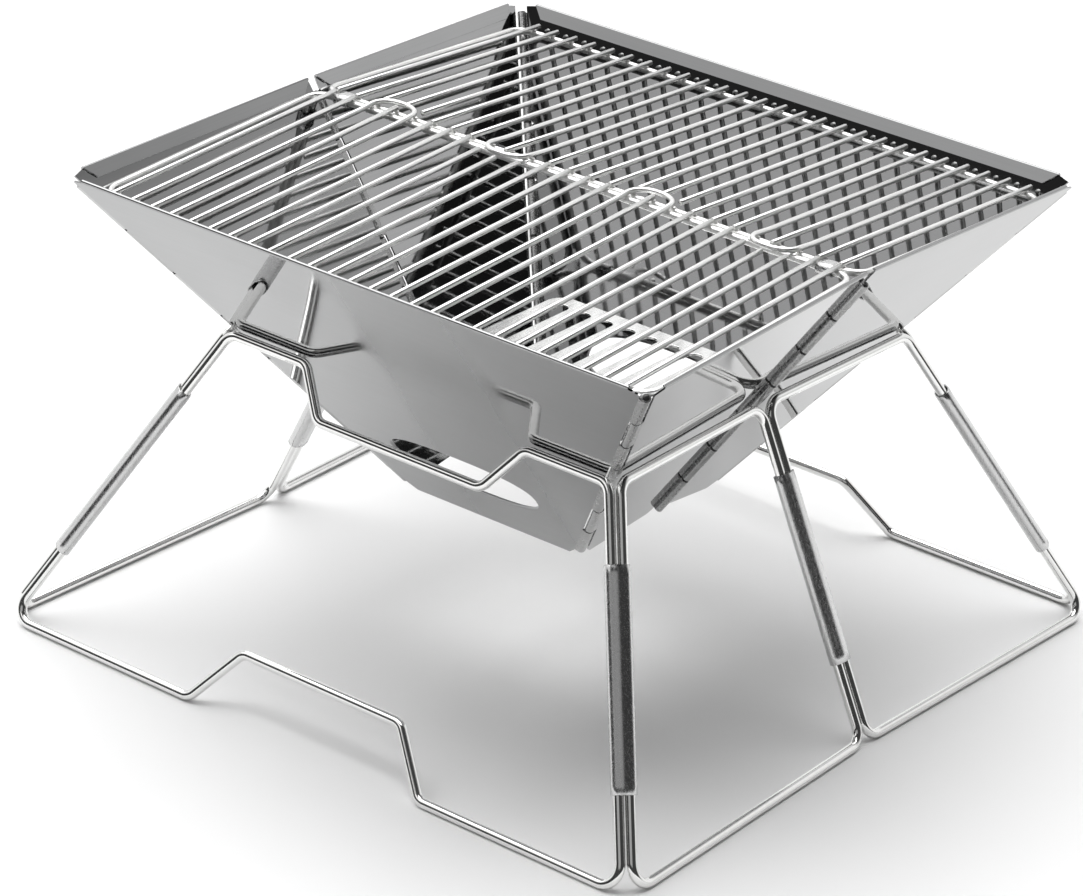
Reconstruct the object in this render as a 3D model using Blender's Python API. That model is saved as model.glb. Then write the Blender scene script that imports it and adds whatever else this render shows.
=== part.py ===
"""Folding camp grill.

A wire stand of six hinged frames carries a sheet-steel bowl of six hinged panels. A slotted
charcoal grate lies low in the bowl and a two-leaf cooking grate lies just under its rim.

Metres, +Z up. The origin is on the ground under the middle of the bowl, the front faces -Y.
All the stand's hinge lines meet at one apex above it and all the bowl's at one apex on the
ground, which is what lets each ring of six pieces fold flat.
"""

import math

import bmesh
import bpy
from mathutils import Matrix, Vector

# Wire stand
STAND_APEX = Vector((0.0, 0.0, 0.400))
FOOT_HALF_WIDTH = 0.1945
FOOT_HALF_DEPTH = 0.1910
STAND_MID_INSET = 0.0050        # the side frames are left bent a little inward
STAND_TOP_HEIGHT = 0.1555
WIRE_RADIUS = 0.0025
WIRE_SIDES = 10
WIRE_BEND = 0.0085
TOP_NOTCH = (0.067, 0.050, -0.0215)     # half width at the run, half width at the bottom, rise
FOOT_NOTCH = (0.072, 0.049, 0.0270)
NOTCH_BEND = 0.0070
PAIR_SPACING = 0.0053           # between the two wires that share a sleeve
OPEN_PIVOT_INSET = 0.0035       # extra room at the rear left corner, where the ring is open

# Sleeves round each pair of wires
SLEEVE_BORE = 0.0028
SLEEVE_WALL = 0.0007
SLEEVE_LOW, SLEEVE_HIGH = 0.0385, 0.1245
SLEEVE_ARC_STEPS = 7

# Sheet-steel bowl
BOWL_APEX = Vector((0.0, 0.0, 0.0))
RIM_HALF_WIDTH = 0.1750
RIM_HALF_DEPTH = 0.1720
RIM_HEIGHT = 0.2370
BOTTOM_HEIGHT = 0.0730
BOWL_MID_INSET = 0.0040         # the side panels are left bent a little inward
RIM_MID_RISE = 0.0040
BOTTOM_MID_RISE = 0.0060
SHEET = 0.0010
HEM_WIDTH = 0.0065
HEM_SHEET = 0.0008
CORNER_CHAMFER = (0.0120, 0.0055)       # along the rim, down the hinge
MID_CHAMFER = (0.0030, 0.0042)
FOOT_CHAMFER = (0.0025, 0.0025)
VENT_HEIGHT = 0.1065
VENT_HALF_WIDTH = 0.0455
VENT_HALF_RISE = 0.0148
VENT_SHAPE = 2.6                # exponent of the rounded outline
VENT_STEPS = 28

# Piano hinges of the bowl
PIN_RADIUS = 0.0009
KNUCKLE_RADIUS = 0.0025
KNUCKLE_BORE = 0.0013
KNUCKLE_SIDES = 8
KNUCKLE_OFFSET = 0.0018         # from the middle of each sheet to the pin
KNUCKLE_COUNT = 7
KNUCKLE_GAP = 0.0008
EDGE_CLEARANCE = 0.0025         # from the pin's foot to a sheet edge beside the other's knuckle
HINGE_END_GAP = 0.0030
OPEN_EDGE_TAPER = 0.0040        # at the rim, extra room at the rear left corner

# Charcoal grate
CHARCOAL_HEIGHT = 0.1234
CHARCOAL_HALF_WIDTH = 0.0750
CHARCOAL_HALF_DEPTH = 0.0885
CHARCOAL_SHEET = 0.0012
CHARCOAL_CORNER = 0.0100
SLOT_COUNT = 10
SLOT_PITCH = 0.0143
SLOT_HALF_WIDTH = 0.0042
SLOT_HALF_LENGTH = 0.0800

# Cooking grate
GRATE_HALF_WIDTH = 0.1630
GRATE_EDGE_Y = 0.1570
GRATE_EDGE_Z = 0.2275
RIDGE_Y = 0.0022                # from the middle to each leaf's inner wire
RIDGE_Z = 0.2355
GRATE_WIRE_RADIUS = 0.0020
GRATE_WIRE_SIDES = 8
GRATE_WIRE_BEND = 0.0090
BAR_RADIUS = 0.00135
BAR_SIDES = 6
BAR_COUNT = 26
BAR_PITCH = 0.01226
BAR_WELD = 0.0004               # bars sink this far into the wires that they cross
BAR_OVERHANG = 0.0045           # past the outer wire
BAR_MEETING_GAP = 0.0010        # between the two leaves' bars at the ridge
FREE_BAR_REACH = 0.0030         # past the ridge, for the bar inside a loop
LOOPS = {-1: (2, 15), 1: (8, 21)}       # by leaf: each joins this bar to the next but one
LOOP_BASE = 0.0020              # the loop's bend starts this far short of the ridge
LOOP_DEPTH = 0.0098
LOOP_SHAPE = 2.3                # exponent of the loop's outline
LOOP_STEPS = 9
LOOP_RISE = 0.0005              # lets a loop pass over the other leaf's wire
LOOP_CLEARANCE = 0.0039         # between the middles of a loop and of the other leaf's bars
CLIP_X = 12 * BAR_PITCH          # midway between two bars
CLIP_LENGTH = 0.0085
CLIP_BORE = 0.0023
CLIP_WALL = 0.0006

MATERIALS = {
    # colour, metallic, roughness
    "wire": ((0.78, 0.78, 0.77), 1.0, 0.16),
    "sleeve": ((0.70, 0.70, 0.70), 1.0, 0.22),
    "sheet": ((0.66, 0.67, 0.68), 1.0, 0.10),
    "pin": ((0.45, 0.45, 0.46), 1.0, 0.30),
    "grate": ((0.82, 0.82, 0.81), 1.0, 0.20),
}

# Stations of the ring, in order, and the pieces between them
STATIONS = ("front_left", "front_right", "mid_right", "rear_right", "rear_left", "mid_left")
PIECES = {
    "front": ("front_left", "front_right"),
    "right_front": ("front_right", "mid_right"),
    "right_rear": ("mid_right", "rear_right"),
    "rear": ("rear_right", "rear_left"),
    "left_rear": ("rear_left", "mid_left"),
    "left_front": ("mid_left", "front_left"),
}
OPEN_STATION = "rear_left"


# ---------------------------------------------------------------- small geometry

def station_signs(station):
    """(-1 or +1 across, -1, 0 or +1 along) of a station of the ring."""
    across = 1 if "right" in station else -1
    along = {"front": -1, "mid": 0, "rear": 1}[station.split("_")[0]]
    return across, along


def neighbours(station):
    """The two pieces that meet at a station, in ring order."""
    first = next(name for name, ends in PIECES.items() if ends[1] == station)
    second = next(name for name, ends in PIECES.items() if ends[0] == station)
    return first, second


def at_height(apex, through, height):
    """The point at a height on the line from an apex through a point."""
    way = through - apex
    return apex + way * ((height - apex.z) / way.z)


def perpendicular_part(vector, direction):
    return vector - direction * vector.dot(direction)


def round_corner(before, corner, after, radius, steps):
    """Points of an arc that rounds a corner between two straight runs."""
    into = (before - corner).normalized()
    out = (after - corner).normalized()
    half = into.angle(out) / 2.0
    reach = radius / math.tan(half)
    centre = corner + (into + out).normalized() * (radius / math.sin(half))
    start = corner + into * reach - centre
    end = corner + out * reach - centre
    turn = start.angle(end)
    points = []
    for index in range(steps + 1):
        share = index / steps
        points.append(centre + (start * math.sin((1 - share) * turn)
                                + end * math.sin(share * turn)) / math.sin(turn))
    return points


def rounded_loop(corners, radii, steps):
    """A closed outline with each corner rounded."""
    count = len(corners)
    points = []
    for index, corner in enumerate(corners):
        points += round_corner(corners[index - 1], corner, corners[(index + 1) % count],
                               radii[index], steps)
    return points


# ---------------------------------------------------------------- meshes

def sweep(bm, path, normal, radius, sides, closed, phase=0.0):
    """A round wire along a flat path. The normal is the normal of the path's plane."""
    rings = []
    count = len(path)
    for index, point in enumerate(path):
        before = path[index - 1] if closed or index else point
        after = path[(index + 1) % count] if closed or index < count - 1 else point
        into = (point - before).normalized() if point != before else None
        out = (after - point).normalized() if point != after else None
        tangent = ((into or out) + (out or into)).normalized()
        side = tangent.cross(normal).normalized()
        stretch = 1.0 / tangent.dot(out or into)
        ring = []
        for step in range(sides):
            angle = phase + 2.0 * math.pi * step / sides
            offset = normal * math.cos(angle) + side * (math.sin(angle) * stretch)
            ring.append(bm.verts.new(point + offset * radius))
        rings.append(ring)
    spans = count if closed else count - 1
    for index in range(spans):
        first, second = rings[index], rings[(index + 1) % count]
        for step in range(sides):
            bm.faces.new((first[step], first[(step + 1) % sides],
                          second[(step + 1) % sides], second[step]))
    if not closed:
        bm.faces.new(tuple(reversed(rings[0])))
        bm.faces.new(tuple(rings[-1]))


def pipe(bm, low, high, outer, inner):
    """A pipe between two points. outer and inner are matching rings round the middle line."""
    rings = []
    for end, ring in ((low, outer), (high, outer), (high, inner), (low, inner)):
        rings.append([bm.verts.new(end + offset) for offset in ring])
    count = len(outer)
    for index in range(4):
        first, second = rings[index], rings[(index + 1) % 4]
        for step in range(count):
            following = (step + 1) % count
            bm.faces.new((first[step], first[following], second[following], second[step]))


def ring_offsets(radius, sides, across, up, phase=0.0):
    return [across * (radius * math.cos(phase + 2 * math.pi * step / sides))
            + up * (radius * math.sin(phase + 2 * math.pi * step / sides))
            for step in range(sides)]


def stadium_offsets(radius, half_spacing, wide, thin, steps):
    """The outline round two circles side by side."""
    points = []
    for sign in (1, -1):
        for step in range(steps + 1):
            angle = -math.pi / 2 + math.pi * step / steps
            points.append(wide * (sign * (half_spacing + radius * math.cos(angle)))
                          + thin * (sign * radius * math.sin(angle)))
    return points


def flat_plate(bm, outlines, thickness):
    """A plate in the XY plane, centred on z = 0. The first outline is its edge."""
    edges = []
    for outline in outlines:
        verts = [bm.verts.new((x, y, -thickness / 2)) for x, y in outline]
        edges += [bm.edges.new((verts[index - 1], verts[index])) for index in range(len(verts))]
    faces = bmesh.ops.triangle_fill(bm, edges=edges, use_beauty=True, use_dissolve=False)
    sheet = [item for item in faces["geom"] if isinstance(item, bmesh.types.BMFace)]
    raised = bmesh.ops.extrude_face_region(bm, geom=sheet)
    verts = [item for item in raised["geom"] if isinstance(item, bmesh.types.BMVert)]
    bmesh.ops.translate(bm, verts=verts, vec=(0.0, 0.0, thickness))


# ---------------------------------------------------------------- objects

def material(name, look):
    colour, metallic, roughness = MATERIALS[look]
    made = bpy.data.materials.new(name)
    made.use_nodes = True
    shader = made.node_tree.nodes["Principled BSDF"]
    shader.inputs["Base Color"].default_value = (*colour, 1.0)
    shader.inputs["Metallic"].default_value = metallic
    shader.inputs["Roughness"].default_value = roughness
    return made


def make_object(name, bm, look, origin=Vector(), parent=None, smooth_angle=math.radians(35)):
    """Turn world-space geometry into a named object whose origin is on its joint's axis."""
    bmesh.ops.recalc_face_normals(bm, faces=bm.faces)
    bmesh.ops.translate(bm, verts=bm.verts, vec=-origin)
    mesh = bpy.data.meshes.new(name)
    bm.to_mesh(mesh)
    bm.free()
    mesh.shade_smooth()
    mesh.set_sharp_from_angle(angle=smooth_angle)
    made = bpy.data.objects.new(name, mesh)
    bpy.context.collection.objects.link(made)
    made.data.materials.append(material(name, look))
    made.parent = parent
    made.location = origin - (world_origin(parent) if parent else Vector())
    return made


def world_origin(thing):
    """Where an object's origin is. No object here is turned or scaled."""
    place = Vector(thing.location)
    while thing.parent:
        thing = thing.parent
        place += thing.location
    return place


def unite(target, name, bm):
    """Weld loose bodies onto an object, as one closed body."""
    tool_mesh = bpy.data.meshes.new(name)
    bmesh.ops.recalc_face_normals(bm, faces=bm.faces)
    bmesh.ops.translate(bm, verts=bm.verts, vec=-world_origin(target))
    bm.to_mesh(tool_mesh)
    bm.free()
    tool = bpy.data.objects.new(name, tool_mesh)
    bpy.context.collection.objects.link(tool)
    tool.parent = target
    tool.hide_render = True
    tool.display_type = "WIRE"
    tool.hide_set(True)
    union = target.modifiers.new("weld", "BOOLEAN")
    union.operation = "UNION"
    union.solver = "EXACT"
    union.object = tool


# ---------------------------------------------------------------- wire stand

def stand_foot(station):
    across, along = station_signs(station)
    half_width = FOOT_HALF_WIDTH - (0.0 if along else STAND_MID_INSET)
    height = WIRE_RADIUS * math.cos(math.pi / WIRE_SIDES)
    return Vector((across * half_width, along * FOOT_HALF_DEPTH, height))


def stand_leg(piece, station):
    """A point and the downward direction of a frame's leg at a station."""
    foot = stand_foot(station)
    down = (foot - STAND_APEX).normalized()
    inward = []
    for name in neighbours(station):
        ends = PIECES[name]
        other = stand_foot(ends[0] if ends[1] == station else ends[1])
        inward.append(perpendicular_part(other - foot, down).normalized())
    shift = PAIR_SPACING / 2 / math.sin(inward[0].angle(inward[1]) / 2)
    if station == OPEN_STATION and piece == "left_rear":
        shift += OPEN_PIVOT_INSET
    own = inward[neighbours(station).index(piece)]
    return foot + own * shift, down


def along_leg(piece, station, height):
    point, down = stand_leg(piece, station)
    return point + down * ((height - point.z) / down.z)


def notch_points(low_left, low_right, notch, frame_up):
    """A run with a trapezoid notch in its middle, from its left end to its right end."""
    middle = (low_left + low_right) / 2
    right = (low_right - low_left).normalized()
    half_run, half_end, rise = notch
    lift = frame_up * (rise / frame_up.z)
    return [low_left, middle - right * half_run, middle - right * half_end + lift,
            middle + right * half_end + lift, middle + right * half_run, low_right]


def stand_frame(piece, origin, parent):
    """One closed wire frame of the stand."""
    start, end = PIECES[piece]
    foot_height = stand_foot(start).z
    feet = [along_leg(piece, station, foot_height) for station in (start, end)]
    tops = [along_leg(piece, station, STAND_TOP_HEIGHT) for station in (start, end)]
    up = ((tops[0] + tops[1]) / 2 - (feet[0] + feet[1]) / 2).normalized()
    if piece in ("front", "rear"):
        foot_run = notch_points(*feet, FOOT_NOTCH, up)
        top_run = notch_points(*tops, TOP_NOTCH, up)
        corners = foot_run + top_run[::-1]
        radii = ([WIRE_BEND] + [NOTCH_BEND] * 4 + [WIRE_BEND]) * 2
    else:
        corners = feet + tops[::-1]
        radii = [WIRE_BEND] * 4
    normal = (corners[1] - corners[0]).cross(up).normalized()
    # A facet of the wire faces straight down, so that the frame stands on a flat.
    side = (corners[1] - corners[0]).normalized().cross(normal)
    phase = math.atan2(-side.z, -normal.z) + math.pi / WIRE_SIDES
    bm = bmesh.new()
    sweep(bm, rounded_loop(corners, radii, 3), normal, WIRE_RADIUS, WIRE_SIDES, True, phase)
    return make_object("frame_" + piece, bm, "wire", origin, parent)


def sleeve(station, origin, parent):
    """The flattened tube round the two legs at a station."""
    first, second = neighbours(station)
    middle = (SLEEVE_LOW + SLEEVE_HIGH) / 2
    legs = [along_leg(name, station, middle) for name in (first, second)]
    down = stand_leg(first, station)[1]
    wide = perpendicular_part(legs[1] - legs[0], down)
    half_spacing = wide.length / 2
    wide.normalize()
    centre = (legs[0] + legs[1]) / 2
    if station == OPEN_STATION:
        # The ring is open here: this sleeve closes round the left rear frame's leg only.
        half_spacing = 0.0
        centre = legs[neighbours(station).index("left_rear")]
    thin = down.cross(wide)
    half_length = (SLEEVE_HIGH - SLEEVE_LOW) / 2 / abs(down.z)
    outer = stadium_offsets(SLEEVE_BORE + SLEEVE_WALL, half_spacing, wide, thin, SLEEVE_ARC_STEPS)
    inner = stadium_offsets(SLEEVE_BORE, half_spacing, wide, thin, SLEEVE_ARC_STEPS)
    if half_spacing == 0.0:
        sides = 2 * SLEEVE_ARC_STEPS
        outer = ring_offsets(SLEEVE_BORE + SLEEVE_WALL, sides, wide, thin)
        inner = ring_offsets(SLEEVE_BORE, sides, wide, thin)
    bm = bmesh.new()
    pipe(bm, centre + down * half_length, centre - down * half_length, outer, inner)
    return make_object("sleeve_" + station, bm, "sleeve", origin, parent)


def leg_origin(piece, station):
    return along_leg(piece, station, (SLEEVE_LOW + SLEEVE_HIGH) / 2)


def build_stand():
    """Two chains of frames and sleeves, from the front frame round to the rear left corner."""
    front = stand_frame("front", leg_origin("front", "front_right"), None)
    chains = (("front_right", "right_front", "mid_right", "right_rear", "rear_right", "rear"),
              ("front_left", "left_front", "mid_left", "left_rear", "rear_left"))
    for chain in chains:
        parent, last_frame = front, "front"
        for index in range(0, len(chain), 2):
            station = chain[index]
            parent = sleeve(station, leg_origin(last_frame, station), parent)
            if index + 1 < len(chain):
                last_frame = chain[index + 1]
                parent = stand_frame(last_frame, leg_origin(last_frame, station), parent)


# ---------------------------------------------------------------- bowl

def rim_point(station):
    across, along = station_signs(station)
    if along:
        return Vector((across * RIM_HALF_WIDTH, along * RIM_HALF_DEPTH, RIM_HEIGHT))
    return Vector((across * (RIM_HALF_WIDTH - BOWL_MID_INSET), 0.0, RIM_HEIGHT + RIM_MID_RISE))


def bottom_point(station):
    rise = 0.0 if station_signs(station)[1] else BOTTOM_MID_RISE
    return at_height(BOWL_APEX, rim_point(station), BOTTOM_HEIGHT + rise)


def inward_normal(piece):
    """The unit normal of a panel that points into the bowl."""
    start, end = (rim_point(station) for station in PIECES[piece])
    normal = start.cross(end).normalized()
    return normal if normal.z > 0 else -normal


def hinge_line(station):
    """The pin's middle line: a point at rim height and the downward direction.

    Corner pins lie inside the bowl and mid-side pins outside it, so that the sheets can
    come together face to face.
    """
    normals = [inward_normal(name) for name in neighbours(station)]
    bisector = (normals[0] + normals[1]).normalized()
    shift = bisector * (KNUCKLE_OFFSET / bisector.dot(normals[0]))
    if not station_signs(station)[1]:
        shift = -shift
    rim = rim_point(station)
    return rim + shift, (BOWL_APEX - rim).normalized()


def hinge_spans(station):
    """Start and end of each knuckle, as lengths down from the rim point."""
    chamfer = CORNER_CHAMFER if station_signs(station)[1] else MID_CHAMFER
    top = chamfer[1] + HINGE_END_GAP
    bottom = (rim_point(station) - bottom_point(station)).length - HINGE_END_GAP
    length = (bottom - top) / KNUCKLE_COUNT
    return [(top + index * length + KNUCKLE_GAP / 2, top + (index + 1) * length - KNUCKLE_GAP / 2)
            for index in range(KNUCKLE_COUNT)]


def knuckle_owner(station, index):
    """Which of the two pieces at a station carries a knuckle."""
    first, second = neighbours(station)
    if station == OPEN_STATION:
        return "rear"
    even_owner = next((name for name in (first, second) if name in ("front", "rear")), first)
    odd_owner = second if even_owner == first else first
    return even_owner if index % 2 == 0 else odd_owner


class PanelFrame:
    """Flat coordinates on a panel: x along the rim, y up the slope, from the apex."""

    def __init__(self, piece):
        self.piece = piece
        start, end = (rim_point(station) for station in PIECES[piece])
        self.normal = inward_normal(piece)
        self.right = (end - start).normalized()
        if piece in ("front", "rear"):
            self.right = Vector((self.right.x, 0.0, 0.0)).normalized()
        self.up = self.normal.cross(self.right)
        if self.up.z < 0:
            self.up = -self.up
        self.matrix = Matrix((self.right, self.up, self.right.cross(self.up))).transposed()

    def flat(self, point):
        return (point.dot(self.right), point.dot(self.up))

    def to_world(self, bm, lift=0.0):
        bmesh.ops.transform(bm, verts=bm.verts, matrix=self.matrix.to_4x4())
        bmesh.ops.translate(bm, verts=bm.verts, vec=self.normal * lift)


def side_edge(piece, station, frame):
    """The panel's edge beside a hinge, from the rim down, in flat coordinates.

    The sheet reaches the pin's foot at its own knuckles and stands clear of the others.
    """
    rim, down = rim_point(station), (BOWL_APEX - rim_point(station)).normalized()
    ends = PIECES[piece]
    other = rim_point(ends[0] if ends[1] == station else ends[1])
    inward = perpendicular_part(other - rim, down).normalized()
    pin = hinge_line(station)[0]
    foot = (pin - rim).dot(inward)
    length = (rim - bottom_point(station)).length
    corner = station_signs(station)[1] != 0
    chamfer = CORNER_CHAMFER if corner else MID_CHAMFER
    clear = foot + EDGE_CLEARANCE
    opened = station == OPEN_STATION and piece == "left_rear"

    def at(depth, distance):
        taper = OPEN_EDGE_TAPER * (1 - depth / rim.length) if opened else 0.0
        return frame.flat(rim + down * depth + inward * (distance + taper))

    along_rim = (other - rim).normalized()
    points = [frame.flat(rim + along_rim * chamfer[0]), at(chamfer[1], clear)]
    for index, (top, bottom) in enumerate(hinge_spans(station)):
        if knuckle_owner(station, index) == piece:
            points += [at(top, clear), at(top, foot), at(bottom, foot), at(bottom, clear)]
    points.append(at(length - FOOT_CHAMFER[1], clear))
    bottom_way = bottom_point(ends[0] if ends[1] == station else ends[1]) - bottom_point(station)
    points.append(frame.flat(bottom_point(station)
                             + bottom_way.normalized() * (clear + FOOT_CHAMFER[0])))
    return points


def knuckles(bm, piece, station):
    """The rolled eyes that a panel carries at a station."""
    point, down = hinge_line(station)
    across = inward_normal(piece)
    up = down.cross(across).normalized()
    across = up.cross(down)
    half_step = math.pi / KNUCKLE_SIDES
    outer = ring_offsets(KNUCKLE_RADIUS, KNUCKLE_SIDES, across, up, half_step)
    inner = ring_offsets(KNUCKLE_BORE, KNUCKLE_SIDES, across, up, half_step)
    for index, (top, bottom) in enumerate(hinge_spans(station)):
        if knuckle_owner(station, index) == piece:
            pipe(bm, point + down * top, point + down * bottom, outer, inner)


def hem(bm, piece, frame):
    """The rim's edge, folded flat onto the inner face, with its ends cut on the slant."""
    start, end = (rim_point(station) for station in PIECES[piece])
    along = (end - start).normalized()
    drop = -frame.up
    insets = []
    for station in PIECES[piece]:
        chamfer = CORNER_CHAMFER if station_signs(station)[1] else MID_CHAMFER
        insets.append(chamfer[0] + 0.0015)
    outline = [start + along * insets[0], end - along * insets[1],
               end - along * (insets[1] + HEM_WIDTH) + drop * HEM_WIDTH,
               start + along * (insets[0] + HEM_WIDTH) + drop * HEM_WIDTH]
    bottom = frame.normal * (SHEET / 2 - 0.0001)
    top = frame.normal * (SHEET / 2 + HEM_SHEET)
    low = [bm.verts.new(point + bottom - frame.up * 0.0002) for point in outline]
    high = [bm.verts.new(point + top - frame.up * 0.0002) for point in outline]
    bm.faces.new(low)
    bm.faces.new(high)
    for index in range(4):
        bm.faces.new((low[index - 1], low[index], high[index], high[index - 1]))


def vent_outline(frame):
    """The rounded air vent low in the front and rear panels."""
    slope_rise = VENT_HEIGHT / frame.up.z
    points = []
    for step in range(VENT_STEPS):
        angle = 2 * math.pi * (step + 0.5) / VENT_STEPS
        x, y = math.cos(angle), math.sin(angle)
        points.append((math.copysign(abs(x) ** (2 / VENT_SHAPE), x) * VENT_HALF_WIDTH,
                       math.copysign(abs(y) ** (2 / VENT_SHAPE), y) * VENT_HALF_RISE + slope_rise))
    return points


def bowl_panel(piece, origin, parent):
    """One panel of the bowl with its knuckles and its hem."""
    frame = PanelFrame(piece)
    start, end = PIECES[piece]
    outline = side_edge(piece, start, frame)[::-1] + side_edge(piece, end, frame)
    outlines = [outline]
    if piece in ("front", "rear"):
        outlines.append(vent_outline(frame))
    bm = bmesh.new()
    flat_plate(bm, outlines, SHEET)
    frame.to_world(bm)
    panel = make_object("panel_" + piece, bm, "sheet", origin, parent)
    extras = bmesh.new()
    for station in (start, end):
        knuckles(extras, piece, station)
    hem(extras, piece, frame)
    unite(panel, "eyes_" + piece, extras)
    return panel


def hinge_pin(station, parent):
    point, down = hinge_line(station)
    spans = hinge_spans(station)
    across = down.orthogonal().normalized()
    bm = bmesh.new()
    ends = [point + down * (spans[0][0] - 0.0004), point + down * (spans[-1][1] + 0.0004)]
    sweep(bm, ends, across, PIN_RADIUS, KNUCKLE_SIDES, False)
    return make_object("pin_" + station, bm, "pin", point, parent)


def build_bowl():
    """The front panel carries two chains of panels that meet at the rear left corner."""
    front = bowl_panel("front", hinge_line("front_right")[0], None)
    for chain in (("front_right", "right_front", "mid_right", "right_rear", "rear_right", "rear"),
                  ("front_left", "left_front", "mid_left", "left_rear")):
        parent = front
        for station, piece in zip(chain[::2], chain[1::2]):
            hinge_pin(station, parent)
            parent = bowl_panel(piece, hinge_line(station)[0], parent)
        if chain[-1] == "rear":
            hinge_pin(OPEN_STATION, parent)
    return front


# ---------------------------------------------------------------- grates

def rounded_rectangle(half_x, half_y, radius, steps, centre_x=0.0):
    corners = [Vector((centre_x + x * half_x, y * half_y, 0.0))
               for x, y in ((-1, -1), (1, -1), (1, 1), (-1, 1))]
    return [(point.x, point.y) for point in rounded_loop(corners, [radius] * 4, steps)]


def charcoal_grate(parent):
    """A flat plate with long slots."""
    outlines = [rounded_rectangle(CHARCOAL_HALF_WIDTH, CHARCOAL_HALF_DEPTH, CHARCOAL_CORNER, 4)]
    for index in range(SLOT_COUNT):
        x = (index - (SLOT_COUNT - 1) / 2) * SLOT_PITCH
        outlines.append(rounded_rectangle(SLOT_HALF_WIDTH, SLOT_HALF_LENGTH,
                                          SLOT_HALF_WIDTH * 0.98, 3, x))
    bm = bmesh.new()
    flat_plate(bm, outlines, CHARCOAL_SHEET)
    middle = CHARCOAL_HEIGHT + CHARCOAL_SHEET / 2
    bmesh.ops.translate(bm, verts=bm.verts, vec=(0.0, 0.0, middle))
    return make_object("charcoal_grate", bm, "grate", Vector((0.0, 0.0, middle)), parent)


class Leaf:
    """One leaf of the cooking grate, in flat coordinates: x across, y out from the ridge."""

    def __init__(self, side):
        self.side = side                        # -1 front, +1 rear
        self.inner = Vector((0.0, side * RIDGE_Y, RIDGE_Z))
        outer = Vector((0.0, side * GRATE_EDGE_Y, GRATE_EDGE_Z))
        self.out = (outer - self.inner).normalized()
        self.depth = (outer - self.inner).length
        self.across = Vector((1.0, 0.0, 0.0))
        self.normal = self.across.cross(self.out) * side

    def at(self, x, y, lift=0.0):
        return self.inner + self.across * x + self.out * y + self.normal * lift


def bar_x(index):
    return (index - (BAR_COUNT - 1) / 2) * BAR_PITCH


def loop_outline(first):
    """The bend of a loop: x across, y past the ridge."""
    middle = bar_x(first + 1)
    points = []
    for step in range(LOOP_STEPS + 1):
        angle = math.pi * step / LOOP_STEPS
        x, y = -math.cos(angle), math.sin(angle)
        points.append((middle + math.copysign(abs(x) ** (2 / LOOP_SHAPE), x) * BAR_PITCH,
                       abs(y) ** (2 / LOOP_SHAPE) * LOOP_DEPTH - LOOP_BASE))
    return points


def bar_start(side, index):
    """How far before the ridge a bar ends: below zero when it reaches past the ridge.

    A bar that would meet one of the other leaf's loops is cut back to clear it.
    """
    if index - 1 in LOOPS[side]:
        return -FREE_BAR_REACH
    for first in LOOPS[-side]:
        if first <= index <= first + 2:
            outline = loop_outline(first)
            start = LOOP_DEPTH + LOOP_CLEARANCE
            while min(math.dist((bar_x(index), start - 0.0005), point)
                      for point in outline) > LOOP_CLEARANCE:
                start -= 0.0005
            return start
    return BAR_MEETING_GAP / 2


def grate_leaf(name, side, origin, parent):
    """A wire frame with bars across it, two pairs of bars joined by a loop at the ridge."""
    leaf = Leaf(side)
    corners = [leaf.at(x * GRATE_HALF_WIDTH, y) for x, y in
               ((-1, 0.0), (1, 0.0), (1, leaf.depth), (-1, leaf.depth))]
    bm = bmesh.new()
    sweep(bm, rounded_loop(corners, [GRATE_WIRE_BEND] * 4, 4), leaf.normal,
          GRATE_WIRE_RADIUS, GRATE_WIRE_SIDES, True, math.pi / GRATE_WIRE_SIDES)
    made = make_object(name, bm, "grate", origin, parent)
    bars = bmesh.new()
    lift = GRATE_WIRE_RADIUS + BAR_RADIUS - BAR_WELD
    far = leaf.depth + BAR_OVERHANG
    looped = {index for first in LOOPS[side] for index in (first, first + 2)}
    for index in range(BAR_COUNT):
        if index not in looped:
            near = bar_start(side, index)
            rise = LOOP_RISE if near < 0 else 0.0
            path = [leaf.at(bar_x(index), near - RIDGE_Y, lift + rise),
                    leaf.at(bar_x(index), far, lift)]
            sweep(bars, path, leaf.normal, BAR_RADIUS, BAR_SIDES, False)
    for first in LOOPS[side]:
        path = [leaf.at(bar_x(first), far, lift), leaf.at(bar_x(first), LOOP_DEPTH, lift)]
        path += [leaf.at(x, -past - RIDGE_Y, lift + LOOP_RISE) for x, past in loop_outline(first)]
        path += [leaf.at(bar_x(first + 2), LOOP_DEPTH, lift), leaf.at(bar_x(first + 2), far, lift)]
        sweep(bars, path, leaf.normal, BAR_RADIUS, BAR_SIDES, False)
    unite(made, "bars_" + name, bars)
    return made


def grate_clip(name, x, parent):
    """A small band round the two inner wires, which turns on the rear leaf's."""
    across, thin = Vector((0.0, 1.0, 0.0)), Vector((0.0, 0.0, 1.0))
    outer = stadium_offsets(CLIP_BORE + CLIP_WALL, RIDGE_Y, across, thin, 5)
    inner = stadium_offsets(CLIP_BORE, RIDGE_Y, across, thin, 5)
    half = Vector((CLIP_LENGTH / 2, 0.0, 0.0))
    centre = Vector((x, 0.0, RIDGE_Z))
    bm = bmesh.new()
    pipe(bm, centre - half, centre + half, outer, inner)
    return make_object(name, bm, "sleeve", Vector((x, RIDGE_Y, RIDGE_Z)), parent)


def build_grates(bowl_front):
    charcoal = charcoal_grate(bowl_front)
    rear = grate_leaf("grate_rear", 1, Vector((0.0, RIDGE_Y, RIDGE_Z)), charcoal)
    clip = grate_clip("grate_clip_right", CLIP_X, rear)
    grate_clip("grate_clip_left", -CLIP_X, rear)
    grate_leaf("grate_front", -1, Vector((0.0, -RIDGE_Y, RIDGE_Z)), clip)


def main():
    for thing in list(bpy.data.objects):
        bpy.data.objects.remove(thing, do_unlink=True)
    build_stand()
    build_grates(build_bowl())


main()
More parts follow.
